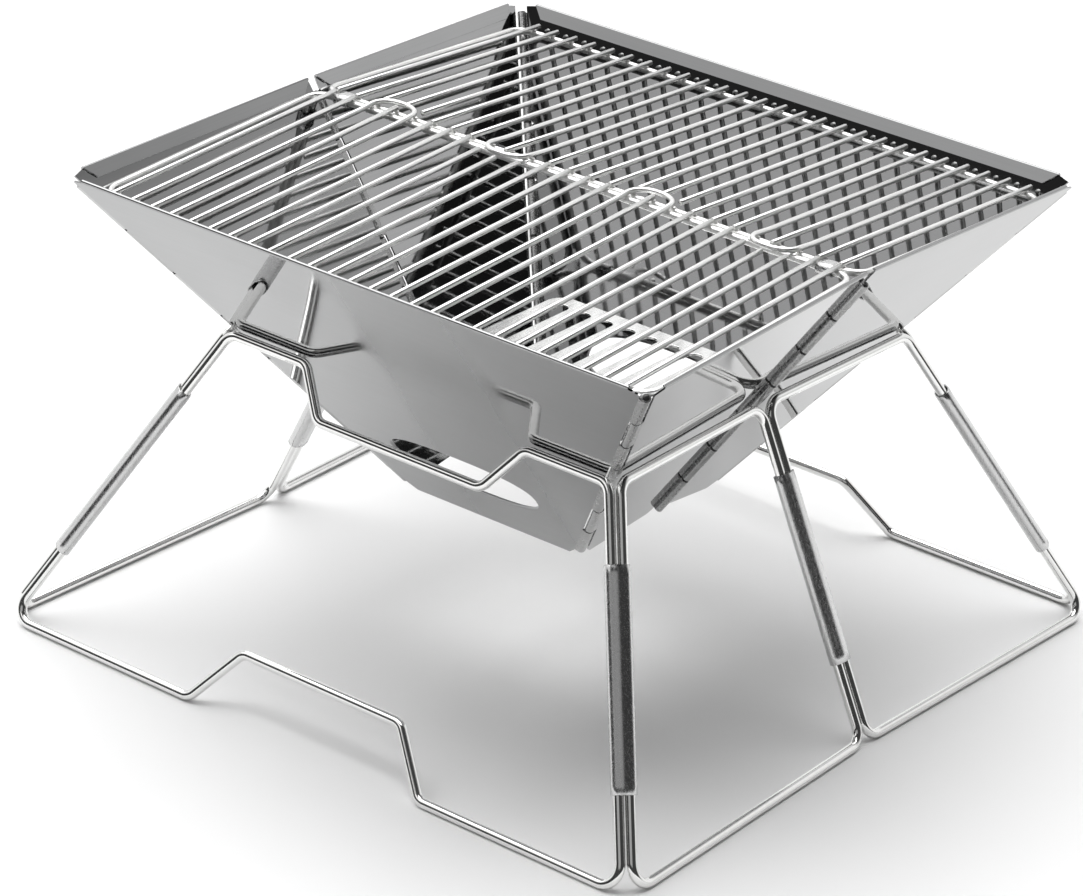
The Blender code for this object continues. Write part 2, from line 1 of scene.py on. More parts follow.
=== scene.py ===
"""Looks of the folding camp grill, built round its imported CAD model.

Every wire, sleeve, panel, pin and grate is made again here as a finer mesh that replaces its
CAD node: round drawn wires, panels of bent sheet with rolled hinge eyes and folded hems, and
bars with weld beads. The stage is a pale floor under soft studio light.
"""

import math
import random

import bmesh
import bpy
from mathutils import Matrix, Vector


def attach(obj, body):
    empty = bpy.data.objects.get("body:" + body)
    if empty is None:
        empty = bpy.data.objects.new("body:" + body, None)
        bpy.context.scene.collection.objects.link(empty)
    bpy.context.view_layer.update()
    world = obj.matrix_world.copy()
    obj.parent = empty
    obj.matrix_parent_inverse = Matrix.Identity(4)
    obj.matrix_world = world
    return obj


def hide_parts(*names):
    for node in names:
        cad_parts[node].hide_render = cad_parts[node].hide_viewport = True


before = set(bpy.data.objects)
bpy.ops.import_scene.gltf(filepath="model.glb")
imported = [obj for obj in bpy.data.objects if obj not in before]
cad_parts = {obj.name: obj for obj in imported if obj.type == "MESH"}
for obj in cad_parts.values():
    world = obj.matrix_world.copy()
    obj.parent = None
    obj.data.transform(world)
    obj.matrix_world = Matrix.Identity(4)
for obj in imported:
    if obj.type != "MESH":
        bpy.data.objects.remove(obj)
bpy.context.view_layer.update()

# ---------------------------------------------------------------- sizes, as in the CAD model

STAND_APEX = Vector((0.0, 0.0, 0.400))
FOOT_HALF_WIDTH = 0.1945
FOOT_HALF_DEPTH = 0.1910
STAND_MID_INSET = 0.0050
STAND_TOP_HEIGHT = 0.1555
WIRE_RADIUS = 0.0025
WIRE_CENTRE_HEIGHT = WIRE_RADIUS * math.cos(math.pi / 10)
WIRE_BEND = 0.0085
TOP_NOTCH = (0.067, 0.050, -0.0215)
FOOT_NOTCH = (0.072, 0.049, 0.0270)
NOTCH_BEND = 0.0070
PAIR_SPACING = 0.0053
OPEN_PIVOT_INSET = 0.0035
SLEEVE_BORE = 0.0028
SLEEVE_WALL = 0.0007
SLEEVE_LOW, SLEEVE_HIGH = 0.0385, 0.1245

RIM_HALF_WIDTH = 0.1750
RIM_HALF_DEPTH = 0.1720
RIM_HEIGHT = 0.2370
BOTTOM_HEIGHT = 0.0730
BOWL_MID_INSET = 0.0040
RIM_MID_RISE = 0.0040
BOTTOM_MID_RISE = 0.0060
SHEET = 0.0010
HEM_WIDTH = 0.0065
CORNER_CHAMFER = (0.0120, 0.0055)
MID_CHAMFER = (0.0030, 0.0042)
FOOT_CHAMFER = (0.0025, 0.0025)
VENT_HEIGHT = 0.1065
VENT_HALF_WIDTH = 0.0455
VENT_HALF_RISE = 0.0148
VENT_SHAPE = 2.6
KNUCKLE_OFFSET = 0.0018
KNUCKLE_COUNT = 7
EDGE_CLEARANCE = 0.0025
HINGE_END_GAP = 0.0030
PIN_RADIUS = 0.0009

CHARCOAL_HEIGHT = 0.1234
CHARCOAL_HALF_WIDTH = 0.0750
CHARCOAL_HALF_DEPTH = 0.0885
CHARCOAL_SHEET = 0.0012
CHARCOAL_CORNER = 0.0100
SLOT_COUNT = 10
SLOT_PITCH = 0.0143
SLOT_HALF_WIDTH = 0.0042
SLOT_HALF_LENGTH = 0.0800

GRATE_HALF_WIDTH = 0.1630
GRATE_EDGE_Y = 0.1570
GRATE_EDGE_Z = 0.2275
RIDGE_Y = 0.0022
RIDGE_Z = 0.2355
GRATE_WIRE_RADIUS = 0.0020
GRATE_WIRE_BEND = 0.0090
BAR_RADIUS = 0.00135
BAR_COUNT = 26
BAR_PITCH = 0.01226
BAR_WELD = 0.0004
BAR_OVERHANG = 0.0045
BAR_MEETING_GAP = 0.0010
FREE_BAR_REACH = 0.0030
LOOPS = {-1: (2, 15), 1: (8, 21)}
LOOP_BASE = 0.0020
LOOP_DEPTH = 0.0098
LOOP_SHAPE = 2.3
LOOP_RISE = 0.0005
LOOP_CLEARANCE = 0.0039
CLIP_X = 12 * BAR_PITCH
CLIP_LENGTH = 0.0085
CLIP_BORE = 0.0023
CLIP_WALL = 0.0006

# ---------------------------------------------------------------- sizes that only the looks have

CORNER_LEAD = 0.0012            # straight run before and after each bend of a wire
SLEEVE_CROWN = 0.0005           # bulge of a sleeve's flat sides
SLEEVE_LIP = 0.00018            # rounding of a sleeve's mouths
CLIP_LIP = 0.00012
OPEN_EDGE_TAPER = 0.0006        # extra room at the rim of the open corner
SHOWN_KNUCKLE_GAP = 0.0014      # between hinge eyes, where the black collars show as painted shade
KNUCKLE_ROLL = 318.0            # degrees that a hinge eye is rolled
# collars as black as the pin: painted shade filling the gaps between hinge eyes
SHADE_COLLAR_RADIUS = 0.0021
PIN_HEAD_RADIUS = 0.0016
HEM_FOLD_RADIUS = 0.00056
HEM_ROOM = SHEET * 1.05         # the fold of the hem starts this far below the rim
VENT_LIP = 0.0009
VENT_FIELD = 0.0020             # flat field kept round the vent
VENT_STEPS = 64
SHEET_EDGE_ROUND = 0.00016
PLATE_EDGE_ROUND = 0.00028
RIM_CURVE_DEPTH = 0.0260        # how far down from the rim the sheet leans
RIM_CURVE_RISE = 0.0020
RIM_CURVE_LINES = (-0.001, 0.0, 0.003, 0.006, 0.009, 0.012, 0.015, 0.018, 0.021)
SHOWN_EDGE_WIRE = 0.0018        # radius of the cooking grate's edge wires
BAR_WANDER = 0.0002             # how far a bar strays from straight
BAR_END_ROUND = 0.0002

CAMERA_PLACE = Vector((1.22259355, -1.61627944, 1.06757461))
CAMERA_ANGLES = (37.409, 25.693, 3.052)     # azimuth, elevation and roll
FOCAL_PIXELS = 4570.78
IMAGE_WIDTH = 1083.0
SENSOR_WIDTH = 36.0
FLOOR_RADIUS = 9.0
CAMERA_WAY = (0.607, -0.794, 0.0)           # on the ground, from the grill to the camera
BACKDROP_LIGHT = 0.95                       # behind the grill
OVERHEAD_WAY = Vector((-0.26, 0.16, 0.952))
OVERHEAD_LIGHT = 3.5
DIM_LIGHT = 0.05                            # everywhere
# Azimuth, elevation, half width and half height (tangents), edge softness, strength
SOFTBOXES = ((-42.0, 46.1, 0.50, 0.225, 0.02, 1.0),
             (20.0, 36.0, 0.36, 0.16, 0.12, 0.35))

SHEET_TONE = 0.372
# the rear panel is the same steel as the others, painted darker as shade
PAINTED_SHADE_SHEET_TONES = {"rear": 0.29}
SHEET_ROUGHNESS = 0.022
WAVE_HEIGHT = 0.00028
WAVE_SEEDS = {"rear": 0.35}
SATIN_ROUGHNESS = 0.26          # of the rubbed middle of the front panel
SATIN_MIDDLE = 0.024
SATIN_HALF_WIDTH = 0.030
SATIN_FADE = 0.020

PIECES = {
    "front": ("front_left", "front_right"),
    "right_front": ("front_right", "mid_right"),
    "right_rear": ("mid_right", "rear_right"),
    "rear": ("rear_right", "rear_left"),
    "left_rear": ("rear_left", "mid_left"),
    "left_front": ("mid_left", "front_left"),
}
FRAME_BODIES = {"front": "front_frame", "right_front": "right_front_frame",
                "right_rear": "right_rear_frame", "rear": "rear_frame",
                "left_rear": "left_rear_frame", "left_front": "left_front_frame"}
SLEEVE_BODIES = {"front_right": "sleeve_front_right", "mid_right": "sleeve_right_mid",
                 "rear_right": "sleeve_rear_right", "front_left": "sleeve_front_left",
                 "mid_left": "sleeve_left_mid", "rear_left": "sleeve_rear_left"}
PIN_BODIES = {"front_right": "panel_front", "front_left": "panel_front",
              "mid_right": "panel_right_front", "rear_right": "panel_right_rear",
              "rear_left": "panel_rear", "mid_left": "panel_left_front"}
OPEN_STATION = "rear_left"      # where the rings of the stand and the bowl are left open
VENTED = ("front", "rear")


# ---------------------------------------------------------------- small geometry

def station_signs(station):
    """Which side of the grill a station is on: across, and along from front to rear."""
    across = 1 if "right" in station else -1
    return across, {"front": -1, "mid": 0, "rear": 1}[station.split("_")[0]]


def neighbours(station):
    """The two pieces that meet at a station."""
    first = next(name for name, ends in PIECES.items() if ends[1] == station)
    second = next(name for name, ends in PIECES.items() if ends[0] == station)
    return first, second


def perpendicular_part(vector, direction):
    return vector - direction * vector.dot(direction)


def round_corner(before, corner, after, radius, steps, lead=0.0):
    """An arc that rounds a corner, with a short straight lead at each end."""
    into = (before - corner).normalized()
    out = (after - corner).normalized()
    half = into.angle(out) / 2.0
    reach = radius / math.tan(half)
    centre = corner + (into + out).normalized() * (radius / math.sin(half))
    start = corner + into * reach - centre
    end = corner + out * reach - centre
    turn = start.angle(end)
    points = [corner + into * (reach + lead)] if lead else []
    for index in range(steps + 1):
        share = index / steps
        points.append(centre + (start * math.sin((1 - share) * turn)
                                + end * math.sin(share * turn)) / math.sin(turn))
    if lead:
        points.append(corner + out * (reach + lead))
    return points


def rounded_loop(corners, radii, steps, lead=0.0):
    """A closed path with its corners rounded."""
    count = len(corners)
    points = []
    for index, corner in enumerate(corners):
        points += round_corner(corners[index - 1], corner, corners[(index + 1) % count],
                               radii[index], steps, lead)
    return points


def sweep(bm, path, normal, radius, sides, closed, end_round=0.0):
    """A round wire along a nearly flat path."""
    points = list(path)
    radii = [radius] * len(points)
    if not closed and end_round:
        first = (points[1] - points[0]).normalized()
        last = (points[-2] - points[-1]).normalized()
        points = ([points[0], points[0] + first * end_round] + points[1:-1]
                  + [points[-1] + last * end_round, points[-1]])
        radii = [radius - end_round] + [radius] * (len(points) - 2) + [radius - end_round]
    rings = []
    count = len(points)
    for index, point in enumerate(points):
        before = points[index - 1] if closed or index else None
        after = points[(index + 1) % count] if closed or index < count - 1 else None
        into = (point - before).normalized() if before is not None else None
        out = (after - point).normalized() if after is not None else None
        tangent = ((into or out) + (out or into)).normalized()
        side = tangent.cross(normal).normalized()
        stretch = 1.0 / tangent.dot(out or into)
        ring = []
        for step in range(sides):
            angle = 2.0 * math.pi * step / sides
            offset = normal * math.cos(angle) + side * (math.sin(angle) * stretch)
            ring.append(bm.verts.new(point + offset * radii[index]))
        rings.append(ring)
    for index in range(count if closed else count - 1):
        first, second = rings[index], rings[(index + 1) % count]
        for step in range(sides):
            bm.faces.new((first[step], first[(step + 1) % sides],
                          second[(step + 1) % sides], second[step]))
    if not closed:
        bm.faces.new(tuple(reversed(rings[0])))
        bm.faces.new(tuple(rings[-1]))


def tube_of_rings(bm, rings, closed_ends=False):
    """Skin a list of rings, each a list of positions."""
    made = [[bm.verts.new(point) for point in ring] for ring in rings]
    for first, second in zip(made, made[1:]):
        for step in range(len(first)):
            following = (step + 1) % len(first)
            bm.faces.new((first[step], first[following], second[following], second[step]))
    if closed_ends:
        bm.faces.new(tuple(reversed(made[0])))
        bm.faces.new(tuple(made[-1]))
    return made


def stadium_offsets(radius, half_spacing, wide, thin, steps, crown=0.0):
    """The outline of a flattened tube, whose flat sides may bulge by crown."""
    points = []
    for sign in (1, -1):
        for step in range(steps + 1):
            angle = -math.pi / 2 + math.pi * step / steps
            points.append(wide * (sign * (half_spacing + radius * math.cos(angle)))
                          + thin * (sign * radius * math.sin(angle)))
        for share in (-0.75, -0.5, -0.25, 0.0, 0.25, 0.5, 0.75) if crown else ():
            points.append(wide * (-sign * half_spacing * share)
                          + thin * (sign * (radius + crown * (1.0 - share * share))))
    return points


# ---------------------------------------------------------------- materials

class Nodes:
    """Short helper for building a material's node tree."""

    def __init__(self, name):
        self.material = bpy.data.materials.new(name)
        self.material.use_nodes = True
        self.tree = self.material.node_tree
        self.tree.nodes.clear()
        self.output = self.add("ShaderNodeOutputMaterial")
        self.shader = self.add("ShaderNodeBsdfPrincipled")
        self.link(self.shader.outputs["BSDF"], self.output.inputs["Surface"])
        self.place = self.add("ShaderNodeTexCoord").outputs["Object"]

    def add(self, kind, **settings):
        node = self.tree.nodes.new(kind)
        for key, value in settings.items():
            setattr(node, key, value)
        return node

    def link(self, source, target):
        self.tree.links.new(source, target)

    def mapped(self, scale, turn=(0.0, 0.0, 0.0)):
        """Coordinates stretched by scale after turning the object by turn."""
        first = self.add("ShaderNodeMapping", vector_type="POINT")
        first.inputs["Rotation"].default_value = turn
        self.link(self.place, first.inputs["Vector"])
        second = self.add("ShaderNodeMapping", vector_type="POINT")
        second.inputs["Scale"].default_value = scale
        self.link(first.outputs["Vector"], second.inputs["Vector"])
        return second.outputs["Vector"]

    def noise(self, vector, scale, detail=2.0, roughness=0.5):
        node = self.add("ShaderNodeTexNoise")
        node.inputs["Scale"].default_value = scale
        node.inputs["Detail"].default_value = detail
        node.inputs["Roughness"].default_value = roughness
        self.link(vector, node.inputs["Vector"])
        return node.outputs["Fac"]

    def ranged(self, value, low, high, start=0.3, end=0.7, kind="LINEAR"):
        """Map start..end of a noise to low..high."""
        node = self.add("ShaderNodeMapRange", interpolation_type=kind)
        node.inputs["From Min"].default_value = start
        node.inputs["From Max"].default_value = end
        node.inputs["To Min"].default_value = low
        node.inputs["To Max"].default_value = high
        self.link(value, node.inputs["Value"])
        return node.outputs["Result"]

    def math(self, kind, first, second):
        node = self.add("ShaderNodeMath", operation=kind)
        for slot, value in enumerate((first, second)):
            if isinstance(value, (int, float)):
                node.inputs[slot].default_value = value
            else:
                self.link(value, node.inputs[slot])
        return node.outputs["Value"]

    def tint(self, value, dark, light):
        """A colour between two, by a value from 0 to 1."""
        node = self.add("ShaderNodeMix", data_type="RGBA")
        self.link(value, node.inputs["Factor"])
        node.inputs["A"].default_value = (*dark, 1.0)
        node.inputs["B"].default_value = (*light, 1.0)
        self.link(node.outputs["Result"], self.shader.inputs["Base Color"])

    def bump(self, height, strength, distance, under=None):
        node = self.add("ShaderNodeBump")
        node.inputs["Strength"].default_value = strength
        node.inputs["Distance"].default_value = distance
        self.link(height, node.inputs["Height"])
        if under is not None:
            self.link(under, node.inputs["Normal"])
        return node.outputs["Normal"]


def steel(name, light, roughness, grain, turn=(0.0, 0.0, 0.0), wave=0.0, smudge=0.0, seed=0.0,
          satin=0.0):
    """Stainless steel.

    grain is the stretch of its polishing lines along X, Y and Z after turn, wave the height of
    slow waves in the sheet, smudge the roughness of dull clouds and spots, seed a shift of the
    waves, and satin the added roughness of a rubbed patch down the middle.
    """
    nodes = Nodes(name)
    lines = nodes.noise(nodes.mapped(grain, turn), 1.0, 3.0, 0.6)
    cloud = nodes.noise(nodes.place, 14.0, 3.0, 0.55)
    spots = nodes.noise(nodes.place, 95.0, 2.0, 0.6)
    dark = tuple(channel * 0.90 for channel in light)
    nodes.tint(nodes.ranged(nodes.math("ADD", nodes.math("MULTIPLY", cloud, 0.6),
                                       nodes.math("MULTIPLY", lines, 0.4)), 0.0, 1.0),
               dark, light)
    rough = nodes.math("ADD", nodes.ranged(lines, roughness * 0.75, roughness * 1.25),
                       nodes.ranged(cloud, 0.0, smudge, 0.48, 0.72))
    rough = nodes.math("ADD", rough, nodes.ranged(spots, 0.0, smudge * 0.7, 0.58, 0.75))
    if satin:
        split = nodes.add("ShaderNodeSeparateXYZ")
        nodes.link(nodes.place, split.inputs["Vector"])
        off_middle = nodes.math("SUBTRACT", split.outputs["X"], SATIN_MIDDLE)
        patch = nodes.ranged(nodes.math("ABSOLUTE", off_middle, 0.0), satin, 0.0,
                             SATIN_HALF_WIDTH, SATIN_HALF_WIDTH + SATIN_FADE, "SMOOTHSTEP")
        rough = nodes.math("ADD", rough, patch)
    nodes.link(rough, nodes.shader.inputs["Roughness"])
    nodes.shader.inputs["Metallic"].default_value = 1.0
    normal = nodes.bump(lines, 0.10, 0.00002)
    if wave:
        shift = nodes.add("ShaderNodeVectorMath", operation="ADD")
        nodes.link(nodes.place, shift.inputs[0])
        shift.inputs[1].default_value = (seed, 0.0, 0.0)
        slow = nodes.noise(shift.outputs["Vector"], 9.0, 1.0, 0.4)
        normal = nodes.bump(slow, 1.0, wave, normal)
    nodes.link(normal, nodes.shader.inputs["Normal"])
    return nodes.material


MATERIALS = {
    "wire": steel("wire_chrome", (0.86, 0.86, 0.85), 0.085, (260.0, 260.0, 260.0), smudge=0.05),
    "sleeve": steel("sleeve_steel", (0.62, 0.62, 0.62), 0.24, (900.0, 900.0, 60.0), smudge=0.02),
    "knuckle": steel("knuckle_steel", (0.48, 0.48, 0.48), 0.24, (700.0, 700.0, 700.0),
                     smudge=0.08),
    # the pin's near black colour is painted shade, standing for the dark gaps between the hinge
    # eyes
    "pin": steel("pin_painted_shade", (0.06, 0.06, 0.06), 0.30, (500.0, 500.0, 500.0), smudge=0.1),
    "bar": steel("bar_steel", (0.90, 0.90, 0.89), 0.32, (700.0, 30.0, 700.0), smudge=0.05),
    "plate": steel("plate_steel", (0.88, 0.88, 0.87), 0.18, (700.0, 25.0, 700.0), smudge=0.08),
}


def panel_material(piece, turn):
    """Near-mirror sheet, its faint rolling lines running along the rim, the rear one painted
    darker as shade.
    """
    # the rear sheet's darker tone is painted shade
    tone_and_shade = PAINTED_SHADE_SHEET_TONES.get(piece, SHEET_TONE)
    return steel("sheet_" + piece, (tone_and_shade, tone_and_shade * 1.005, tone_and_shade * 1.01), SHEET_ROUGHNESS,
                 (12.0, 900.0, 900.0), turn, wave=WAVE_HEIGHT, smudge=0.035,
                 seed=WAVE_SEEDS.get(piece, 0.0),
                 satin=SATIN_ROUGHNESS if piece == "front" else 0.0)


# ---------------------------------------------------------------- objects

def finish_mesh(name, bm, materials, body, nodes, smooth_angle=40.0, modifiers=(),
                shading=None):
    """Make a piece of a bmesh, bake its modifiers, and hang it on a body."""
    bmesh.ops.recalc_face_normals(bm, faces=bm.faces)
    mesh = bpy.data.meshes.new(name)
    bm.to_mesh(mesh)
    bm.free()
    for material in materials if isinstance(materials, tuple) else (materials,):
        mesh.materials.append(material)
    mesh.shade_smooth()
    if not modifiers:
        mesh.set_sharp_from_angle(angle=math.radians(smooth_angle))
    piece = bpy.data.objects.new(name, mesh)
    bpy.context.scene.collection.objects.link(piece)
    for kind, settings in modifiers:
        modifier = piece.modifiers.new(kind.lower(), kind)
        for key, value in settings.items():
            setattr(modifier, key, value)
    if modifiers:
        graph = bpy.context.evaluated_depsgraph_get()
        baked = bpy.data.meshes.new_from_object(piece.evaluated_get(graph))
        piece.modifiers.clear()
        piece.data = baked
        baked.name = name
    if shading:
        mesh = piece.data
        normals = [corner.vector.copy() for corner in mesh.corner_normals]
        for polygon in mesh.polygons:
            for loop in polygon.loop_indices if polygon.material_index == 0 else ():
                place = mesh.vertices[mesh.loops[loop].vertex_index].co
                normals[loop] = shading(place, polygon.normal) or normals[loop]
        mesh.normals_split_custom_set(normals)
    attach(piece, body)
    if nodes:
        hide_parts(*nodes)
    return piece


# ---------------------------------------------------------------- wire stand

def stand_foot(station):
    """The ground point that a leg's two wires are set out from."""
    across, along = station_signs(station)
    half_width = FOOT_HALF_WIDTH - (0.0 if along else STAND_MID_INSET)
    return Vector((across * half_width, along * FOOT_HALF_DEPTH, WIRE_CENTRE_HEIGHT))


def stand_leg(piece, station):
    """One wire's leg at a station: a point on it, and the way down to it from the apex."""
    foot = stand_foot(station)
    down = (foot - STAND_APEX).normalized()
    inward = []
    for name in neighbours(station):
        ends = PIECES[name]
        other = stand_foot(ends[0] if ends[1] == station else ends[1])
        inward.append(perpendicular_part(other - foot, down).normalized())
    shift = PAIR_SPACING / 2 / math.sin(inward[0].angle(inward[1]) / 2)
    if station == OPEN_STATION and piece == "left_rear":
        shift += OPEN_PIVOT_INSET
    own = inward[neighbours(station).index(piece)]
    return foot + own * shift, down


def along_leg(piece, station, height):
    point, down = stand_leg(piece, station)
    return point + down * ((height - point.z) / down.z)


def notch_points(left, right_end, notch, frame_up):
    """The corners of a run that steps up or down in its middle."""
    middle = (left + right_end) / 2
    right = (right_end - left).normalized()
    half_run, half_end, rise = notch
    lift = frame_up * (rise / frame_up.z)
    return [left, middle - right * half_run, middle - right * half_end + lift,
            middle + right * half_end + lift, middle + right * half_run, right_end]


def make_frame(piece):
    """One closed wire frame of the stand."""
    start, end = PIECES[piece]
    feet = [along_leg(piece, station, WIRE_CENTRE_HEIGHT) for station in (start, end)]
    tops = [along_leg(piece, station, STAND_TOP_HEIGHT) for station in (start, end)]
    up = ((tops[0] + tops[1]) / 2 - (feet[0] + feet[1]) / 2).normalized()
    if piece in ("front", "rear"):
        corners = (notch_points(*feet, FOOT_NOTCH, up)
                   + notch_points(*tops, TOP_NOTCH, up)[::-1])
        radii = ([WIRE_BEND] + [NOTCH_BEND] * 4 + [WIRE_BEND]) * 2
    else:
        corners = feet + tops[::-1]
        radii = [WIRE_BEND] * 4
    normal = (corners[1] - corners[0]).cross(up).normalized()
    bm = bmesh.new()
    sweep(bm, rounded_loop(corners, radii, 12, CORNER_LEAD), normal, WIRE_RADIUS, 24, True)
    finish_mesh("wire_frame_" + piece, bm, MATERIALS["wire"], FRAME_BODIES[piece],
                ["frame_" + piece])


def make_sleeve(station):
    """A tube flattened round two legs, its mouths turned in a little."""
    first, second = neighbours(station)
    middle = (SLEEVE_LOW + SLEEVE_HIGH) / 2
    legs = [along_leg(name, station, middle) for name in (first, second)]
    down = stand_leg(first, station)[1]
    wide = perpendicular_part(legs[1] - legs[0], down)
    half_spacing = wide.length / 2
    wide.normalize()
    thin = down.cross(wide)
    centre = (legs[0] + legs[1]) / 2
    half = (SLEEVE_HIGH - SLEEVE_LOW) / 2 / abs(down.z)
    outer, lip = SLEEVE_BORE + SLEEVE_WALL, SLEEVE_LIP
    profile = [(-half + lip, outer), (-half + 0.004, outer), (-half + 0.014, outer),
               (half - 0.014, outer), (half - 0.004, outer), (half - lip, outer),
               (half, outer - lip), (half, SLEEVE_BORE + lip), (half - lip, SLEEVE_BORE),
               (-half + lip, SLEEVE_BORE), (-half, SLEEVE_BORE + lip), (-half, outer - lip),
               (-half + lip, outer)]
    bm = bmesh.new()
    rings = [[centre + down * place + offset
              for offset in stadium_offsets(radius, half_spacing, wide, thin, 14, SLEEVE_CROWN)]
             for place, radius in profile]
    tube_of_rings(bm, rings)
    bmesh.ops.remove_doubles(bm, verts=bm.verts, dist=0.000002)
    finish_mesh("sleeve_tube_" + station, bm, MATERIALS["sleeve"], SLEEVE_BODIES[station],
                ["sleeve_" + station], 50.0)


# ---------------------------------------------------------------- bowl

def rim_point(station):
    across, along = station_signs(station)
    if along:
        return Vector((across * RIM_HALF_WIDTH, along * RIM_HALF_DEPTH, RIM_HEIGHT))
    return Vector((across * (RIM_HALF_WIDTH - BOWL_MID_INSET), 0.0, RIM_HEIGHT + RIM_MID_RISE))


def bottom_point(station):
    rise = 0.0 if station_signs(station)[1] else BOTTOM_MID_RISE
    return rim_point(station) * ((BOTTOM_HEIGHT + rise) / rim_point(station).z)


def inward_normal(piece):
    start, end = (rim_point(station) for station in PIECES[piece])
    normal = start.cross(end).normalized()
    return normal if normal.z > 0 else -normal


def hinge_line(station):
    """A hinge's axis: where it meets the rim, and the way down."""
    normals = [inward_normal(name) for name in neighbours(station)]
    bisector = (normals[0] + normals[1]).normalized()
    shift = bisector * (KNUCKLE_OFFSET / bisector.dot(normals[0]))
    rim = rim_point(station)
    if not station_signs(station)[1]:
        shift = -shift
    return rim + shift, -rim.normalized()


def hinge_spans(station):
    """Where each hinge eye starts and ends, as depths below the rim."""
    chamfer = CORNER_CHAMFER if station_signs(station)[1] else MID_CHAMFER
    top = chamfer[1] + HINGE_END_GAP
    bottom = (rim_point(station) - bottom_point(station)).length - HINGE_END_GAP
    length = (bottom - top) / KNUCKLE_COUNT
    half_gap = SHOWN_KNUCKLE_GAP / 2
    return [(top + index * length + half_gap, top + (index + 1) * length - half_gap)
            for index in range(KNUCKLE_COUNT)]


def knuckle_owner(station, index):
    first, second = neighbours(station)
    if station == OPEN_STATION:
        return "rear"
    even_owner = next((name for name in (first, second) if name in ("front", "rear")), first)
    odd_owner = second if even_owner == first else first
    return even_owner if index % 2 == 0 else odd_owner


def other_end(piece, station):
    start, end = PIECES[piece]
    return start if end == station else end


def side_edge(piece, station, up):
    """The sheet's edge beside a hinge, from the rim down, and its tabs as index pairs."""
    rim = rim_point(station)
    down = -rim.normalized()
    other = rim_point(other_end(piece, station))
    inward = perpendicular_part(other - rim, down).normalized()
    foot = (hinge_line(station)[0] - rim).dot(inward)
    length = (rim - bottom_point(station)).length
    chamfer = CORNER_CHAMFER if station_signs(station)[1] else MID_CHAMFER
    clear = foot + EDGE_CLEARANCE
    opened = station == OPEN_STATION and piece == "left_rear"

    def at(depth, distance):
        taper = OPEN_EDGE_TAPER * (1 - depth / rim.length) if opened else 0.0
        return rim + down * depth + inward * (distance + taper)

    top = rim + (other - rim).normalized() * chamfer[0] - up * HEM_ROOM
    points = [top, at(chamfer[1], clear)]
    tabs = []
    for index, (top, bottom) in enumerate(hinge_spans(station)):
        if knuckle_owner(station, index) == piece:
            points += [at(top, clear), at(bottom, clear)]
            tabs.append((len(points) - 2, len(points) - 1))
    points.append(at(length - FOOT_CHAMFER[1], clear))
    bottom_way = bottom_point(other_end(piece, station)) - bottom_point(station)
    points.append(bottom_point(station) + bottom_way.normalized() * (clear + FOOT_CHAMFER[0]))
    return points, tabs, -inward


def strip(bm, first, second, offsets, material_index=0):
    """Carry on from an edge through a list of (offset of first, offset of second)."""
    last = (first, second)
    start = (first.co.copy(), second.co.copy())
    for near, far in offsets:
        fresh = (bm.verts.new(start[0] + near), bm.verts.new(start[1] + far))
        face = bm.faces.new((last[0], last[1], fresh[1], fresh[0]))
        face.material_index = material_index
        last = fresh


def curl(out, side, radius, degrees, steps):
    """Offsets along a roll that leaves a sheet's edge and turns towards side."""
    offsets = []
    for step in range(1, steps + 1):
        angle = math.radians(degrees) * step / steps
        offsets.append(out * (radius * math.sin(angle)) + side * (radius * (1 - math.cos(angle))))
    return offsets


def vent_outline(up):
    """The rounded air vent, as points in the plane of the front or rear panel."""
    points = []
    for step in range(VENT_STEPS):
        angle = 2 * math.pi * (step + 0.5) / VENT_STEPS
        x, y = math.cos(angle), math.sin(angle)
        x = math.copysign(abs(x) ** (2 / VENT_SHAPE), x) * VENT_HALF_WIDTH
        y = math.copysign(abs(y) ** (2 / VENT_SHAPE), y) * VENT_HALF_RISE
        points.append(up * (VENT_HEIGHT / up.z) + Vector((x, 0.0, 0.0)) + up * y)
    return points


def cut_lines(bm, rim, rim_way, up, has_vent):
    """Lines across the sheet that carry its lean by the rim and keep it flat by the vent."""
    cuts = [(rim - up * (RIM_CURVE_DEPTH - depth), up) for depth in RIM_CURVE_LINES]
    if has_vent:
        middle = up * (VENT_HEIGHT / up.z)
        cuts += [(middle + up * (side * (VENT_HALF_RISE + VENT_FIELD)), up) for side in (-1, 1)]
        cuts += [(rim_way * (side * (VENT_HALF_WIDTH + VENT_FIELD)), rim_way)
                 for side in (-1, 1)]
    for place, way in cuts:
        geometry = bm.verts[:] + bm.edges[:] + bm.faces[:]
        bmesh.ops.bisect_plane(bm, geom=geometry, dist=1e-7, plane_co=place, plane_no=way)


def fold_hem(bm, left, right, rim_way, up, normal):
    """The rim's edge folded over inwards and flattened."""
    fold = curl(up, normal, HEM_FOLD_RADIUS, 180.0, 8)
    offsets = [(offset, offset) for offset in fold]
    for depth in (0.0005, HEM_WIDTH):
        step = rim_way * depth
        offsets.append((fold[-1] - up * depth + step, fold[-1] - up * depth - step))
    strip(bm, left, right, offsets)


def turn_lip(bm, vent, normal):
    """The edge of the vent, turned inwards."""
    middle = sum((vert.co for vert in vent), Vector()) / len(vent)
    rings = [vent]
    for angle in (22.0, 45.0, 68.0, 85.0):
        turn = math.radians(angle)
        ring = []
        for index, vert in enumerate(vent):
            along = (vent[(index + 1) % len(vent)].co - vent[index - 1].co).normalized()
            inward = along.cross(normal)
            if inward.dot(middle - vert.co) < 0:
                inward = -inward
            ring.append(bm.verts.new(vert.co + inward * (VENT_LIP * math.sin(turn))
                                     + normal * (VENT_LIP * (1 - math.cos(turn)))))
        rings.append(ring)
    for near, far in zip(rings, rings[1:]):
        for index in range(len(near)):
            bm.faces.new((near[index - 1], near[index], far[index], far[index - 1]))


